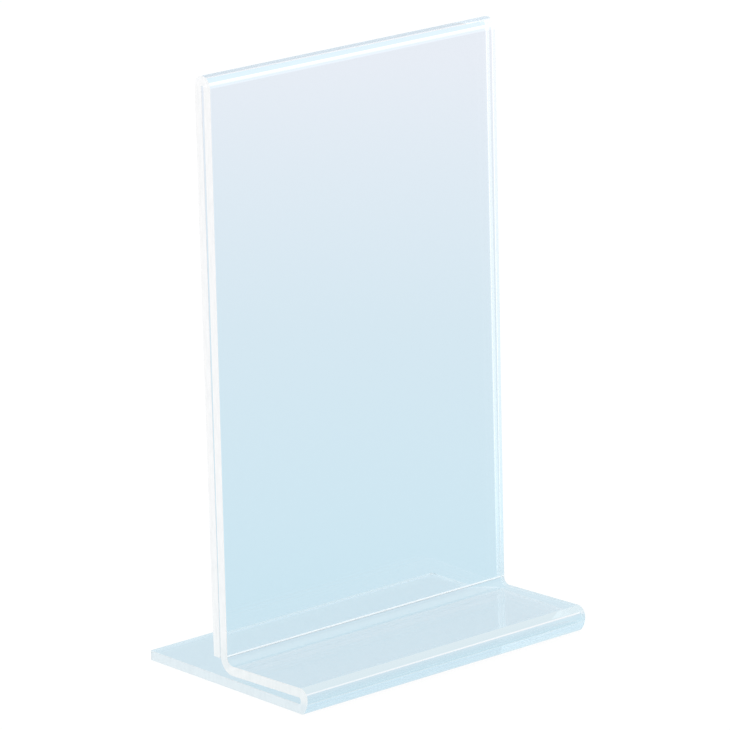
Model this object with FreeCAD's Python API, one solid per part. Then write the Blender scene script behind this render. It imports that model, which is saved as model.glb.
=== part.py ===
import FreeCAD, Part
import math
import os

# A clear acrylic T-shaped stand for one portrait print. It is one strip of sheet, heat-bent along
# lines that run across its width. Every section lies in the YZ plane and is extruded along X.
# Origin: centre of the base's underside. +Z is up, -Y is the front and +X is to the right. In mm.

os.makedirs("parts", exist_ok=True)

# Driving dimensions
width = 102.0
depth = 67.0
height = 170.0
sheet = 2.75

# Base and the slot between the base plate and the shelf
slot_height = 1.8
shelf_tilt = math.radians(1.4)
rear_corner_radius = 0.8
match_tolerance = 0.01

# Front return bend
lip_top_radius = 2.8
lip_face_radius = 6.0
lip_toe_radius = 1.0

# Upright
panel_front_y = -0.1
upright_inner_radius = 2.0

# Print pocket between the two panels
pocket_gap_top = 0.9
pocket_gap_bottom = 0.2
back_panel_bottom_z = 7.8

# Derived sizes
base_front_y = -depth / 2
slot_radius = slot_height / 2
fold_outer_radius = sheet + pocket_gap_top / 2
fold_inner_radius = pocket_gap_top / 2
fold_centre_z = height - fold_outer_radius
fold_centre_y = panel_front_y + fold_outer_radius
back_panel_length = fold_centre_z - back_panel_bottom_z
back_panel_lean = math.asin((pocket_gap_top - pocket_gap_bottom) / back_panel_length)


def point(y, z):
    """A point of a section, on the plane of the sheet's left cut end."""
    return FreeCAD.Vector(-width / 2, y, z)


def along(start, direction, distance):
    """The point at a distance from start, along a direction in the YZ plane."""
    return start + FreeCAD.Vector(direction).multiply(distance)


def polar(centre, radius, angle):
    """The point of a circle at an angle from +Y, towards +Z."""
    return centre + FreeCAD.Vector(0, radius * math.cos(angle), radius * math.sin(angle))


def line(start, end):
    return Part.LineSegment(start, end).toShape()


def arc(centre, radius, start_angle, end_angle):
    """A circular arc of a section between two angles."""
    middle = polar(centre, radius, (start_angle + end_angle) / 2)
    start = polar(centre, radius, start_angle)
    end = polar(centre, radius, end_angle)
    return Part.Arc(start, middle, end).toShape()


def extrude_section(edges):
    """The solid that a closed section makes across the whole width."""
    face = Part.Face(Part.Wire(edges))
    return face.extrude(FreeCAD.Vector(width, 0, 0))


def flat_strip(corner, run_direction, run_length, thickness_direction):
    """A flat stretch of sheet that starts at corner."""
    far = along(corner, run_direction, run_length)
    far_top = along(far, thickness_direction, sheet)
    near_top = along(corner, thickness_direction, sheet)
    corners = [corner, far, far_top, near_top]
    return extrude_section([line(corners[i], corners[(i + 1) % 4]) for i in range(4)])


def bent_strip(centre, inner_radius, start_angle, end_angle):
    """A bend of even thickness about a line across the width."""
    outer_radius = inner_radius + sheet
    edges = [
        arc(centre, inner_radius, start_angle, end_angle),
        line(polar(centre, inner_radius, end_angle), polar(centre, outer_radius, end_angle)),
        arc(centre, outer_radius, end_angle, start_angle),
        line(polar(centre, outer_radius, start_angle), polar(centre, inner_radius, start_angle)),
    ]
    return extrude_section(edges)


# The shelf falls gently from the front lip to the upright.
shelf_run = FreeCAD.Vector(0, math.cos(shelf_tilt), -math.sin(shelf_tilt))
shelf_up = FreeCAD.Vector(0, math.sin(shelf_tilt), math.cos(shelf_tilt))
shelf_up_angle = math.pi / 2 - shelf_tilt

# The round inner end of the slot, and the centre of the lip's top radius.
slot_end = point(base_front_y + sheet + slot_radius, sheet + slot_radius)
lip_rise = sheet - lip_top_radius + slot_radius
lip_centre_y = base_front_y + lip_top_radius
lip_reach = lip_centre_y - slot_end.y
lip_centre_z = slot_end.z + (lip_rise - lip_reach * math.sin(shelf_tilt)) / math.cos(shelf_tilt)
lip_centre = point(lip_centre_y, lip_centre_z)

# The centre of the bend from the shelf up into the front panel.
shelf_front_bottom = along(slot_end, shelf_up, slot_radius)
shelf_front_top = along(shelf_front_bottom, shelf_up, sheet)
upright_centre_y = panel_front_y - upright_inner_radius
upright_reach = upright_centre_y - shelf_front_top.y
upright_centre_z = (
    shelf_front_top.z + (upright_inner_radius - upright_reach * math.sin(shelf_tilt)) / math.cos(shelf_tilt)
)
upright_centre = point(upright_centre_y, upright_centre_z)
shelf_rear_top = along(upright_centre, shelf_up, -upright_inner_radius)
shelf_length = (shelf_rear_top - shelf_front_top).Length

fold_centre = point(fold_centre_y, fold_centre_z)


def base_plate():
    """The flat foot, from the slot's inner end to the rear edge, with eased rear corners."""
    plate = Part.makeBox(width, depth / 2 - slot_end.y, sheet, point(slot_end.y, 0))
    rear_edges = [e for e in plate.Edges if abs(e.CenterOfMass.y - depth / 2) < match_tolerance]
    rear_corners = [e for e in rear_edges if abs(e.Length - sheet) < match_tolerance]
    return plate.makeFillet(rear_corner_radius, rear_corners)


def front_return_bend():
    """The lip where the sheet turns back over itself: a round top, a long curved face and a tight toe."""
    face_centre = point(base_front_y + lip_face_radius, lip_centre.z)
    toe_reach = lip_face_radius - lip_toe_radius
    toe_y = face_centre.y - math.sqrt(toe_reach ** 2 - (face_centre.z - lip_toe_radius) ** 2)
    toe_centre = point(toe_y, lip_toe_radius)
    toe_angle = math.atan2(toe_centre.z - face_centre.z, toe_centre.y - face_centre.y) + 2 * math.pi
    edges = [
        line(shelf_front_top, polar(lip_centre, lip_top_radius, shelf_up_angle)),
        arc(lip_centre, lip_top_radius, shelf_up_angle, math.pi),
        arc(face_centre, lip_face_radius, math.pi, toe_angle),
        arc(toe_centre, lip_toe_radius, toe_angle, 3 * math.pi / 2),
        line(point(toe_centre.y, 0), point(slot_end.y, 0)),
        line(point(slot_end.y, 0), point(slot_end.y, sheet)),
        arc(slot_end, slot_radius, 3 * math.pi / 2, shelf_up_angle),
        line(shelf_front_bottom, shelf_front_top),
    ]
    return extrude_section(edges)


def shelf():
    """The stretch that runs back over the base plate, from the lip to the upright."""
    return flat_strip(shelf_front_bottom, shelf_run, shelf_length, shelf_up)


def upright_bend():
    """The bend that turns the shelf up into the front panel."""
    return bent_strip(upright_centre, upright_inner_radius, shelf_up_angle - math.pi, 0)


def front_panel():
    """The fixed face of the print pocket."""
    up = FreeCAD.Vector(0, 0, 1)
    back = FreeCAD.Vector(0, 1, 0)
    return flat_strip(point(panel_front_y, upright_centre.z), up, fold_centre_z - upright_centre.z, back)


def top_fold():
    """The tight fold over the top of the pocket."""
    return bent_strip(fold_centre, fold_inner_radius, math.pi, -back_panel_lean)


def back_panel():
    """The springy rear face of the pocket. It hangs from the fold and leans in to grip the print."""
    down = FreeCAD.Vector(0, -math.sin(back_panel_lean), -math.cos(back_panel_lean))
    outward = FreeCAD.Vector(0, math.cos(back_panel_lean), -math.sin(back_panel_lean))
    start = polar(fold_centre, fold_inner_radius, -back_panel_lean)
    return flat_strip(start, down, back_panel_length, outward)


SUB_PARTS = {
    "base_plate": base_plate,
    "front_return_bend": front_return_bend,
    "shelf": shelf,
    "upright_bend": upright_bend,
    "front_panel": front_panel,
    "top_fold": top_fold,
    "back_panel": back_panel,
}

for name, make in SUB_PARTS.items():
    solid = make()
    solid.exportStep("parts/" + name + ".step")
    box = solid.BoundBox
    print(name, "valid", solid.isValid(), "volume", round(solid.Volume, 1))
    print("   y", round(box.YMin, 3), round(box.YMax, 3), "z", round(box.ZMin, 3), round(box.ZMax, 3))

hinge = polar(fold_centre, fold_outer_radius, -back_panel_lean)
print("hinge line y", round(hinge.y, 4), "z", round(hinge.z, 4))
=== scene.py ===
import bpy
import math
from mathutils import Matrix, Vector


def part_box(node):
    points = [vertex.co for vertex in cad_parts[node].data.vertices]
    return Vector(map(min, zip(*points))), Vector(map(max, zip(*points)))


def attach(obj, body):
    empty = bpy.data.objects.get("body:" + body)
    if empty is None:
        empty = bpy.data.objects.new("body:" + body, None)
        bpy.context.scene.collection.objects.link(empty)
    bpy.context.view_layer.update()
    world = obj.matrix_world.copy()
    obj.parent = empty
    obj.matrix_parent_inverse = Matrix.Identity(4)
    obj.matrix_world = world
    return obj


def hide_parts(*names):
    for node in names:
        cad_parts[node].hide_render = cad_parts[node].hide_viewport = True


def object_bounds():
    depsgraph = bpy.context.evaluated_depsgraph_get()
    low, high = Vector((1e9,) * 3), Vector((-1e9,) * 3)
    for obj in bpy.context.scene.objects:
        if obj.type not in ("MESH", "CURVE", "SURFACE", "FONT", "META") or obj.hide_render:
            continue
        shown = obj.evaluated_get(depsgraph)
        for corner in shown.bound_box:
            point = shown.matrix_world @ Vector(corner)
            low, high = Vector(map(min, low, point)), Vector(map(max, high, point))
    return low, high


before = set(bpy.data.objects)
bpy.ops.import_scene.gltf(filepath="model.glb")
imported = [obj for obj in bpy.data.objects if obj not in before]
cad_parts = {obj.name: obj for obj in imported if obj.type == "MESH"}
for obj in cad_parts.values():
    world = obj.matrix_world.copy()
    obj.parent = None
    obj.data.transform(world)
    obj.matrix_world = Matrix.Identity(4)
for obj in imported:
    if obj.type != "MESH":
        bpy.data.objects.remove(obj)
cad_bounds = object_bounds()

# A clear acrylic stand for one portrait print: a strip of sheet, bent along lines across its width.
# Lengths are in metres and angles in radians unless a name says otherwise.

# Shape
EDGE_ROUND = 0.00018
SHELF_TILT = math.radians(1.4)
LIP_TOP_RADIUS = 0.0028
LIP_FACE_RADIUS = 0.006
LIP_TOE_RADIUS = 0.001
REAR_CORNER_RADIUS = 0.0008
REAR_CORNER_STEPS = (0.00035, 0.0006, REAR_CORNER_RADIUS)
REAR_CORNER_REACH = 0.003
ARC_STEPS = 28
ROUND_STEPS = 4
LEAF_STEPS = 24

# Polished sheet. Heights on the object are fractions of its full height.
ACRYLIC_IOR = 1.49
SHEET_TINT = (0.978, 0.993, 0.998, 1)
SCUFF_SCALE = 60
SCUFF_DETAIL = 6
SCUFF_START = 0.6
SCUFF_ROUGHNESS = (0.04, 0.04, 0.04, 1)
FOLD_BLEND = 0.002
# Painted glow: the fold is given a steady emission, though it is no lamp.
FOLD_PAINTED_GLOW = 0.12
FOLD_TINT = (0.994, 0.993, 0.994, 1)
FOLD_STOP = 0.3
# Painted shade: edge-on, the fold's colour turns to this dark grey-blue, which draws the rim line along the
# top.
RIM_PAINTED_SHADE_SCREEN = (142, 170, 189)
RIM_FACING_START = 0.38
RIM_FACING_FULL = 0.52

# Sawn ends
# Painted shade: the sawn ends are darker and bluer at the base plate and the shelf than higher up.
EDGE_FOOT_PAINTED_SHADE = (0.81, 0.88, 0.915, 1)
EDGE_SHELF_PAINTED_SHADE = (0.90, 0.93, 0.935, 1)
EDGE_COLOUR = (0.965, 0.965, 0.965, 1)
EDGE_SHADE = (0.945, 0.955, 0.96, 1)
EDGE_ROUGHNESS = 0.22
EDGE_CLEARNESS = 0.15
# Painted glow: seen from inside, the sawn ends give a steady emission, more higher up, though they are no
# lamps.
EDGE_PAINTED_GLOW_LOW = 0.1
EDGE_PAINTED_GLOW_HIGH = 0.2
EDGE_PAINTED_GLOW_START = 0.04
EDGE_PAINTED_GLOW_FULL = 0.15
SAW_MARKS_PER_METRE = 900
SAW_MARK_STRETCH = 4
SAW_MARK_DETAIL = 3
SAW_MARK_DARK = 0.3
SAW_MARK_LIGHT = 0.6
SAW_MARK_BUMP = 0.25
SAW_MARK_DEPTH = 0.0001

# What a ray that Cycles stops following would have gone on to see, in screen colours. The same colours tint
# the painted glow on the fold and the sawn ends.
MOST_REFLECTIONS = 4
MOST_BOUNCES = 12
LOW_GLOW = (220, 235, 241)
HIGH_GLOW = (252, 251, 252)
EDGE_HIGH_GLOW = (253, 245, 241)
LOW_GLOW_TOP = 0.04
HIGH_GLOW_FOOT = 0.3

# Studio. The tones are screen colours, and the wall's heights are the Z of the view direction.
WHITE = (1, 1, 1, 1)
BLACK = (0, 0, 0, 1)
STUDIO_WHITE = (1.02, 1.02, 1.02, 1)
FLOOR_SIZE = 12
FLOOR_GAP = 0.0003
FLOOR_GREY = (0.08, 0.08, 0.08, 1)
FLOOR_EMISSION = 0.93
FLOOR_FAR = 0.75
FLOOR_MIDDLE = 0.45
FLOOR_NEAR_TONE = (201, 229, 241)
FLOOR_MIDDLE_TONE = (213, 230, 240)
FLOOR_FAR_TONE = (233, 236, 244)
WALL_MIDDLE = 0.3
WALL_TOP = 0.45
WALL_FOOT_TONE = (198, 223, 236)
WALL_MIDDLE_TONE = (228, 233, 239)
CEILING_TONE = (252, 253, 255)

# Camera
CAMERA_AZIMUTH = math.radians(-40.66)
CAMERA_ELEVATION = math.radians(15.71)
CAMERA_ROLL = math.radians(1.33)
CAMERA_DISTANCE = 1.566
CAMERA_LENS_MM = 282.3
CAMERA_SENSOR_MM = 36
CAMERA_AIM_DROP = 0.0039
CAMERA_AIM_RIGHT = 0.0007
CAMERA_CLIP_START = 0.01
CAMERA_CLIP_END = 50

UP = Vector((0, 0, 1))
BACK = Vector((0, 1, 0))

# What the CAD model says
base_low, base_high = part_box("base_plate")
lip_low, lip_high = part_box("front_return_bend")
shelf_low, shelf_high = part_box("shelf")
upright_low, upright_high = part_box("upright_bend")
panel_low, panel_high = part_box("front_panel")
fold_low, fold_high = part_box("top_fold")
leaf_low, leaf_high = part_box("back_panel")

half_width = base_high.x
sheet = base_high.z
slot_radius = base_low.y - lip_low.y - sheet
slot_end = Vector((0, base_low.y, sheet + slot_radius))
lip_centre = Vector((0, lip_low.y + LIP_TOP_RADIUS, lip_high.z - LIP_TOP_RADIUS))
fold_outer = (fold_high.y - fold_low.y) / 2
fold_inner = fold_outer - sheet
fold_centre = Vector((0, (fold_high.y + fold_low.y) / 2, panel_high.z))
pocket_closing = 2 * fold_inner - (leaf_low.y - panel_high.y)
leaf_lean = math.asin(pocket_closing / (fold_centre.z - leaf_low.z))

full_height = fold_high.z
base_top_level = base_high.z / full_height
shelf_foot_level = shelf_low.z / full_height
shelf_top_level = shelf_high.z / full_height
fold_level = fold_low.z / full_height


def direction(angle):
    """The unit vector at an angle from +Y towards +Z."""
    return Vector((0, math.cos(angle), math.sin(angle)))


class Station:
    """One crossing of the sheet: a point on each of its two faces, with the normals there."""

    def __init__(self, inner, outer, inner_normal, outer_normal):
        self.points = (inner, outer)
        self.normals = (inner_normal, outer_normal)


def flat(inner, outer, across):
    """A crossing of a flat stretch. across points from the inner face to the outer one."""
    return Station(inner, outer, -across, across)


def bend(centre, inner_radius, outer_radius, start, end):
    """The crossings of a bend. The inner face has the larger radius in a bend that turns the other way."""
    side = 1 if outer_radius > inner_radius else -1
    made = []
    for i in range(ARC_STEPS + 1):
        out = direction(start + (end - start) * i / ARC_STEPS)
        inner = centre + out * inner_radius
        outer = centre + out * outer_radius
        made.append(Station(inner, outer, out * -side, out * side))
    return made


def along_pieces(pieces, count):
    """count + 1 points with normals, evenly spaced along arcs given as (centre, radius, start, end)."""
    lengths = [abs(end - start) * radius for _, radius, start, end in pieces]
    made = []
    for i in range(count + 1):
        left = sum(lengths) * i / count
        k = 0
        while k < len(pieces) - 1 and left > lengths[k]:
            left -= lengths[k]
            k += 1
        centre, radius, start, end = pieces[k]
        out = direction(start + (end - start) * min(1, left / lengths[k]))
        made.append((centre + out * radius, out))
    return made


def lip_stations():
    """The return bend: a round slot end inside, and outside a tight toe, a long face and a round top."""
    foot_angle = 1.5 * math.pi
    top_angle = math.pi / 2 - SHELF_TILT
    face_centre = Vector((0, lip_low.y + LIP_FACE_RADIUS, lip_centre.z))
    toe_reach = LIP_FACE_RADIUS - LIP_TOE_RADIUS
    toe_y = face_centre.y - math.sqrt(toe_reach ** 2 - (face_centre.z - LIP_TOE_RADIUS) ** 2)
    toe_centre = Vector((0, toe_y, LIP_TOE_RADIUS))
    toe_angle = math.atan2(toe_centre.z - face_centre.z, toe_centre.y - face_centre.y) + 2 * math.pi
    outside = along_pieces(
        [
            (toe_centre, LIP_TOE_RADIUS, foot_angle, toe_angle),
            (face_centre, LIP_FACE_RADIUS, toe_angle, math.pi),
            (lip_centre, LIP_TOP_RADIUS, math.pi, top_angle),
        ],
        2 * ARC_STEPS,
    )
    made = []
    for i, (point, normal) in enumerate(outside):
        inside = direction(foot_angle + (top_angle - foot_angle) * i / (2 * ARC_STEPS))
        made.append(Station(slot_end + inside * slot_radius, point, -inside, normal))
    return made


def upright_bend_stations():
    """The bend from the shelf up into the front panel."""
    outer_radius = panel_low.z - upright_low.z
    inner_radius = outer_radius - sheet
    centre = Vector((0, panel_low.y - inner_radius, panel_low.z))
    return bend(centre, outer_radius, inner_radius, -math.pi / 2 - SHELF_TILT, 0)


def rounded_start(station, outwards):
    """The crossings that round off a cut end. outwards points away from the sheet."""
    made = []
    for i in range(ROUND_STEPS + 1):
        turn = math.pi / 2 * (1 - i / ROUND_STEPS)
        points = []
        normals = []
        for point, normal in zip(station.points, station.normals):
            inset = EDGE_ROUND * (1 - math.cos(turn))
            points.append(point - normal * inset - outwards * EDGE_ROUND * (1 - math.sin(turn)))
            normals.append(normal * math.cos(turn) + outwards * math.sin(turn))
        made.append(Station(*points, *normals))
    return made


def widths():
    """(x, turn) from left to right. turn is how far a rounded edge has turned towards the sawn end."""
    made = []
    for i in range(ROUND_STEPS + 1):
        turn = math.pi / 2 * (1 - i / ROUND_STEPS)
        made.append((-half_width + EDGE_ROUND * (1 - math.sin(turn)), turn))
    made += [(-half_width + inwards, 0) for inwards in REAR_CORNER_STEPS]
    return made + [(-x, turn) for x, turn in reversed(made)]


def eased(point, x):
    """Rounds the base plate's two rear corners in plan."""
    near_side = REAR_CORNER_RADIUS - (half_width - abs(x))
    near_rear = (point.y - base_high.y + REAR_CORNER_REACH) / REAR_CORNER_REACH
    if near_side <= 0 or near_rear <= 0:
        return point
    back = REAR_CORNER_RADIUS - math.sqrt(REAR_CORNER_RADIUS ** 2 - near_side ** 2)
    return point - BACK * back * near_rear ** 2


def sweep(name, stations, materials, cut_start, cut_end):
    """The mesh of a sheet: its section swept across the width, with rounded edges and flat sawn ends.

    A first or last crossing that isn't cut is left open, where the sheet runs on in the other mesh."""
    levels = widths()
    spans = len(stations) - 1
    vertices = []
    normals = []
    for x, turn in levels:
        side = Vector((math.copysign(1, x), 0, 0))
        for station in stations:
            for point, normal in zip(station.points, station.normals):
                moved = eased(point - normal * EDGE_ROUND * (1 - math.cos(turn)), x)
                vertices.append((x, moved.y, moved.z))
                normals.append((normal * math.cos(turn) + side * math.sin(turn)).normalized())
    row = 2 * len(stations)
    faces = []
    slots = []

    def add(face, slot):
        faces.append(face)
        slots.append(slot)

    for j in range(len(levels) - 1):
        a = j * row
        b = a + row
        rounded = levels[j][1] > 0 or levels[j + 1][1] > 0
        for i in range(spans):
            k = 2 * i
            at_start = cut_start and i < ROUND_STEPS
            at_end = cut_end and i >= spans - ROUND_STEPS
            slot = 1 if rounded or at_start or at_end else 0
            add((a + k, a + k + 2, b + k + 2, b + k), slot)
            add((a + k + 1, b + k + 1, b + k + 3, a + k + 3), slot)
        if cut_start:
            add((a, b, b + 1, a + 1), 1)
        if cut_end:
            last = row - 2
            add((a + last, a + last + 1, b + last + 1, b + last), 1)
    right = (len(levels) - 1) * row
    for i in range(spans):
        k = 2 * i
        add((k, k + 1, k + 3, k + 2), 1)
        add((right + k, right + k + 2, right + k + 3, right + k + 1), 1)

    mesh = bpy.data.meshes.new(name)
    mesh.from_pydata(vertices, [], faces)
    mesh.polygons.foreach_set("material_index", slots)
    mesh.polygons.foreach_set("use_smooth", [True] * len(faces))
    mesh.update()
    mesh.normals_split_custom_set_from_vertices(normals)
    for material in materials:
        mesh.materials.append(material)
    piece = bpy.data.objects.new(name, mesh)
    bpy.context.scene.collection.objects.link(piece)
    return piece


def base_crossing(y):
    """A crossing of the base plate."""
    return flat(Vector((0, y, sheet)), Vector((0, y, 0)), -UP)


def stand_stations():
    """The fixed sheet, from the base plate's rear edge round to the rear end of the top fold."""
    stations = rounded_start(base_crossing(base_high.y), BACK)
    stations.append(base_crossing(base_high.y - REAR_CORNER_REACH))
    stations += lip_stations()
    stations += upright_bend_stations()
    stations += bend(fold_centre, fold_inner, fold_outer, math.pi, -leaf_lean)
    return stations


def leaf_stations():
    """The back panel, from the fold down to its free lower edge."""
    outwards = direction(-leaf_lean)
    down = direction(-math.pi / 2 - leaf_lean)
    length = (fold_centre.z - leaf_low.z) / math.cos(leaf_lean)
    top_inner = fold_centre + outwards * fold_inner
    top_outer = fold_centre + outwards * fold_outer
    made = []
    for i in range(LEAF_STEPS + 1):
        run = down * length * i / LEAF_STEPS
        made.append(flat(top_inner + run, top_outer + run, outwards))
    return made[:-1] + rounded_start(made[-1], down)[::-1]


def new_material(name):
    material = bpy.data.materials.new(name)
    material.use_nodes = True
    tree = material.node_tree
    return material, tree, tree.nodes["Principled BSDF"]


def linear(screen_colour):
    """A linear colour from the 0 to 255 values that a screen shows."""
    parts = []
    for value in screen_colour:
        v = value / 255
        parts.append(v / 12.92 if v <= 0.04045 else ((v + 0.055) / 1.055) ** 2.4)
    return (*parts, 1)


def feed(tree, source, target):
    """Links a socket to target, or puts a number or colour on target itself."""
    if isinstance(source, bpy.types.NodeSocket):
        tree.links.new(source, target)
    else:
        target.default_value = source


def ramp(tree, source, stops):
    """A colour ramp. stops are (position, colour)."""
    node = tree.nodes.new("ShaderNodeValToRGB")
    elements = node.color_ramp.elements
    elements[0].position, elements[0].color = stops[0]
    elements[1].position, elements[1].color = stops[-1]
    for position, colour in stops[1:-1]:
        elements.new(position).color = colour
    tree.links.new(source, node.inputs["Fac"])
    return node.outputs["Color"]


def fraction(tree, source, start, end):
    """How far a socket is from start to end, from 0 to 1."""
    node = tree.nodes.new("ShaderNodeMapRange")
    node.inputs["From Min"].default_value = start
    node.inputs["From Max"].default_value = end
    tree.links.new(source, node.inputs["Value"])
    return node.outputs["Result"]


def remapped(tree, source, low, high):
    """A 0 to 1 socket turned into low to high."""
    node = tree.nodes.new("ShaderNodeMapRange")
    node.inputs["To Min"].default_value = low
    node.inputs["To Max"].default_value = high
    tree.links.new(source, node.inputs["Value"])
    return node.outputs["Result"]


def mixed(tree, blend_type, factor, first, second):
    """A Mix node. factor, first and second are sockets or plain values."""
    node = tree.nodes.new("ShaderNodeMix")
    node.data_type = "RGBA"
    node.blend_type = blend_type
    feed(tree, factor, node.inputs["Factor"])
    feed(tree, first, node.inputs["A"])
    feed(tree, second, node.inputs["B"])
    return node.outputs["Result"]


def calculated(tree, operation, first, second):
    """A Math node. first and second are sockets or numbers."""
    node = tree.nodes.new("ShaderNodeMath")
    node.operation = operation
    feed(tree, first, node.inputs[0])
    feed(tree, second, node.inputs[1])
    return node.outputs[0]


def object_place(tree):
    """Object-space coordinates, in metres."""
    return tree.nodes.new("ShaderNodeTexCoord").outputs["Object"]


def height_fraction(tree):
    """How far up the object the surface is, from 0 to 1."""
    parts = tree.nodes.new("ShaderNodeSeparateXYZ")
    tree.links.new(object_place(tree), parts.inputs["Vector"])
    return fraction(tree, parts.outputs["Z"], 0, full_height)


def noise(tree, place, scale, detail):
    node = tree.nodes.new("ShaderNodeTexNoise")
    node.inputs["Scale"].default_value = scale
    node.inputs["Detail"].default_value = detail
    tree.links.new(place, node.inputs["Vector"])
    return node.outputs["Fac"]


def stopped_ray_and_painted_glow(tree, shader, glow, high_glow):
    """Makes up for Cycles stopping a ray after a few reflections in the sheet, which leaves black bands.

    The surface where such a ray stops gives the pale studio that the ray would go on to see. glow is a
    painted
    glow: a steady emission on the fold and the sawn ends, which are no lamps, standing in for light the
    sheet carries to them."""
    path = tree.nodes.new("ShaderNodeLightPath")
    reflected = calculated(tree, "GREATER_THAN", path.outputs["Glossy Depth"], MOST_REFLECTIONS + 0.5)
    scattered = calculated(tree, "GREATER_THAN", path.outputs["Diffuse Depth"], MOST_REFLECTIONS + 0.5)
    passed = calculated(tree, "GREATER_THAN", path.outputs["Ray Depth"], MOST_BOUNCES + 0.5)
    stopped = calculated(tree, "MAXIMUM", calculated(tree, "MAXIMUM", reflected, scattered), passed)
    stops = [(LOW_GLOW_TOP, linear(LOW_GLOW)), (HIGH_GLOW_FOOT, linear(high_glow))]
    tree.links.new(ramp(tree, height_fraction(tree), stops), shader.inputs["Emission Color"])
    tree.links.new(calculated(tree, "MAXIMUM", stopped, glow), shader.inputs["Emission Strength"])


def clear_acrylic():
    """Polished sheet, with faint scuffs. Edge-on, the fold's colour is darkened to the grey-blue line along
    the top, a painted shade. The fold also carries a painted glow.
    """
    material, tree, shader = new_material("clear_acrylic")
    shader.inputs["Transmission Weight"].default_value = 1.0
    shader.inputs["IOR"].default_value = ACRYLIC_IOR
    scuffs = noise(tree, object_place(tree), SCUFF_SCALE, SCUFF_DETAIL)
    stops = [(0.0, BLACK), (SCUFF_START, BLACK), (1.0, SCUFF_ROUGHNESS)]
    tree.links.new(ramp(tree, scuffs, stops), shader.inputs["Roughness"])
    fold = fraction(tree, height_fraction(tree), fold_level, fold_level + FOLD_BLEND)
    # Painted shade: edge-on, the fold's colour darkens into the grey-blue rim line.
    edge_on = tree.nodes.new("ShaderNodeLayerWeight").outputs["Facing"]
    rim = fraction(tree, edge_on, RIM_FACING_START, RIM_FACING_FULL)
    place = calculated(tree, "MULTIPLY", fold, remapped(tree, rim, FOLD_STOP, 1))
    stops = [(0.0, SHEET_TINT), (FOLD_STOP, FOLD_TINT), (1.0, linear(RIM_PAINTED_SHADE_SCREEN))]
    tree.links.new(ramp(tree, place, stops), shader.inputs["Base Color"])
    # Painted glow: the fold gets a steady emission besides the emission for stopped rays.
    stopped_ray_and_painted_glow(tree, shader, remapped(tree, fold, 0, FOLD_PAINTED_GLOW), HIGH_GLOW)
    return material


def sawn_edge():
    """The sawn, lightly polished ends of the strip: frosted from outside, and clear from inside. They carry
    painted shade low down and, seen from inside, a painted glow.
    """
    material, tree, shader = new_material("sawn_edge")
    shader.inputs["IOR"].default_value = ACRYLIC_IOR
    shader.inputs["Roughness"].default_value = EDGE_ROUGHNESS
    inside = tree.nodes.new("ShaderNodeNewGeometry").outputs["Backfacing"]
    tree.links.new(remapped(tree, inside, EDGE_CLEARNESS, 1), shader.inputs["Transmission Weight"])

    stretch = tree.nodes.new("ShaderNodeMapping")
    stretch.inputs["Scale"].default_value = (0, SAW_MARKS_PER_METRE, SAW_MARKS_PER_METRE / SAW_MARK_STRETCH)
    tree.links.new(object_place(tree), stretch.inputs["Vector"])
    marks = noise(tree, stretch.outputs["Vector"], 1, SAW_MARK_DETAIL)
    # Painted shade: the ends are darker and bluer low down. This is multiplied by the saw marks below.
    levels = [
        (base_top_level, EDGE_FOOT_PAINTED_SHADE),
        (shelf_foot_level, EDGE_SHELF_PAINTED_SHADE),
        (shelf_top_level, EDGE_SHELF_PAINTED_SHADE),
        (shelf_top_level * 2, EDGE_COLOUR),
    ]
    tone = ramp(tree, height_fraction(tree), levels)
    streaks = ramp(tree, marks, [(SAW_MARK_DARK, EDGE_SHADE), (SAW_MARK_LIGHT, WHITE)])
    tree.links.new(mixed(tree, "MULTIPLY", 1.0, tone, streaks), shader.inputs["Base Color"])

    bump = tree.nodes.new("ShaderNodeBump")
    bump.inputs["Strength"].default_value = SAW_MARK_BUMP
    bump.inputs["Distance"].default_value = SAW_MARK_DEPTH
    tree.links.new(marks, bump.inputs["Height"])
    tree.links.new(bump.outputs["Normal"], shader.inputs["Normal"])

    # Painted glow: a steady emission on the ends seen from inside, rising with height.
    lift = fraction(tree, height_fraction(tree), EDGE_PAINTED_GLOW_START, EDGE_PAINTED_GLOW_FULL)
    glow = remapped(tree, lift, EDGE_PAINTED_GLOW_LOW, EDGE_PAINTED_GLOW_HIGH)
    stopped_ray_and_painted_glow(tree, shader, calculated(tree, "MULTIPLY", glow, inside), EDGE_HIGH_GLOW)
    return material


def toned_in_sheet(tree, tone):
    """White to the camera and to matt surfaces, and tone in light that the sheet bends or reflects."""
    path = tree.nodes.new("ShaderNodeLightPath")
    bent = calculated(tree, "MAXIMUM", path.outputs["Is Transmission Ray"], path.outputs["Is Glossy Ray"])
    return mixed(tree, "MIX", bent, STUDIO_WHITE, tone)


def make_floor():
    """A white sweep that lights itself. Through the sheet it is pale blue nearby and paler further off."""
    bpy.ops.mesh.primitive_plane_add(size=FLOOR_SIZE, location=(0, 0, -FLOOR_GAP))
    floor = bpy.context.object
    floor.name = "floor"
    material, tree, shader = new_material("floor_white")
    shader.inputs["Base Color"].default_value = FLOOR_GREY
    shader.inputs["Roughness"].default_value = 1.0
    shader.inputs["Specular IOR Level"].default_value = 0.0
    shader.inputs["Emission Strength"].default_value = FLOOR_EMISSION
    reach = tree.nodes.new("ShaderNodeVectorMath")
    reach.operation = "LENGTH"
    tree.links.new(object_place(tree), reach.inputs[0])
    away = fraction(tree, reach.outputs["Value"], 0, FLOOR_FAR)
    stops = [
        (0.0, linear(FLOOR_NEAR_TONE)),
        (FLOOR_MIDDLE, linear(FLOOR_MIDDLE_TONE)),
        (1.0, linear(FLOOR_FAR_TONE)),
    ]
    tree.links.new(toned_in_sheet(tree, ramp(tree, away, stops)), shader.inputs["Emission Color"])
    floor.data.materials.append(material)


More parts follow.
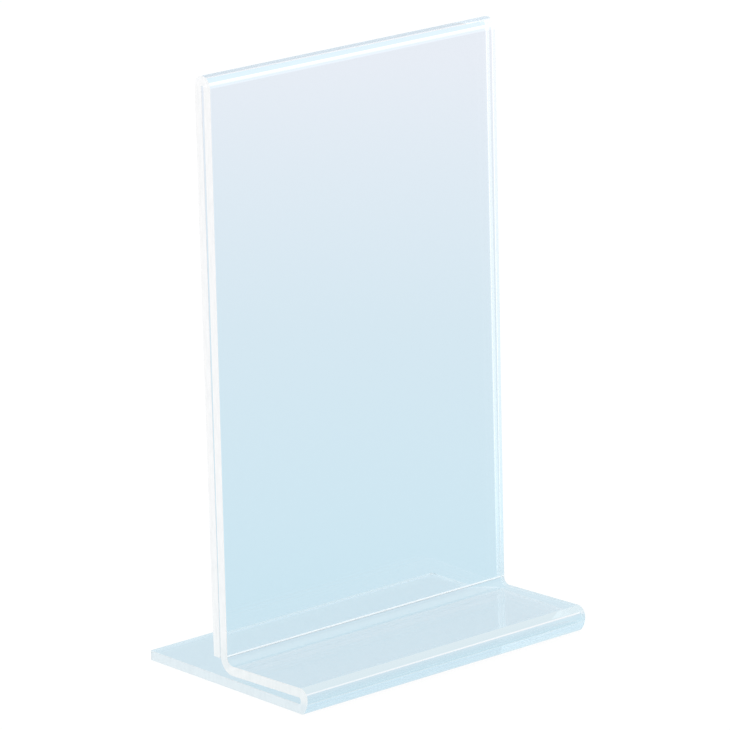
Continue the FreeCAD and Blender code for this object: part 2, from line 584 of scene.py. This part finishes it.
def make_world():
    """A white surround. Through the sheet it is a pale blue wall under a near-white ceiling."""
    world = bpy.data.worlds.new("studio")
    bpy.context.scene.world = world
    world.use_nodes = True
    tree = world.node_tree
    view = tree.nodes.new("ShaderNodeSeparateXYZ")
    tree.links.new(tree.nodes.new("ShaderNodeTexCoord").outputs["Generated"], view.inputs["Vector"])
    stops = [
        (0.0, linear(WALL_FOOT_TONE)),
        (WALL_MIDDLE, linear(WALL_MIDDLE_TONE)),
        (WALL_TOP, linear(CEILING_TONE)),
    ]
    tone = ramp(tree, view.outputs["Z"], stops)
    tree.links.new(toned_in_sheet(tree, tone), tree.nodes["Background"].inputs["Color"])


def make_camera():
    """The camera at the photo's angle. It aims just below and to the right of the object's middle."""
    level = math.cos(CAMERA_ELEVATION)
    away = Vector((math.sin(CAMERA_AZIMUTH), -math.cos(CAMERA_AZIMUTH), 0))
    back = away * level + UP * math.sin(CAMERA_ELEVATION)
    right = Vector((math.cos(CAMERA_AZIMUTH), math.sin(CAMERA_AZIMUTH), 0))
    up = back.cross(right)
    low, high = cad_bounds
    aim = (Vector(low) + Vector(high)) / 2 - up * CAMERA_AIM_DROP + right * CAMERA_AIM_RIGHT
    rolled_right = right * math.cos(CAMERA_ROLL) - up * math.sin(CAMERA_ROLL)
    rolled_up = right * math.sin(CAMERA_ROLL) + up * math.cos(CAMERA_ROLL)
    turned = Matrix((rolled_right, rolled_up, back)).transposed()
    data = bpy.data.cameras.new("camera")
    data.sensor_width = CAMERA_SENSOR_MM
    data.lens = CAMERA_LENS_MM
    data.clip_start = CAMERA_CLIP_START
    data.clip_end = CAMERA_CLIP_END
    camera = bpy.data.objects.new("camera", data)
    camera.matrix_world = Matrix.Translation(aim + back * CAMERA_DISTANCE) @ turned.to_4x4()
    bpy.context.scene.collection.objects.link(camera)
    bpy.context.scene.camera = camera


clear = clear_acrylic()
sawn = sawn_edge()

stand = sweep("bent_sheet", stand_stations(), (clear, sawn), True, False)
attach(stand, "stand")
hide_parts("base_plate", "front_return_bend", "shelf", "upright_bend", "front_panel", "top_fold")

leaf = sweep("back_leaf_sheet", leaf_stations(), (clear, sawn), False, True)
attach(leaf, "back_leaf")
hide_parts("back_panel")

make_floor()
make_world()
make_camera()
bpy.context.scene.view_settings.view_transform = "Standard"
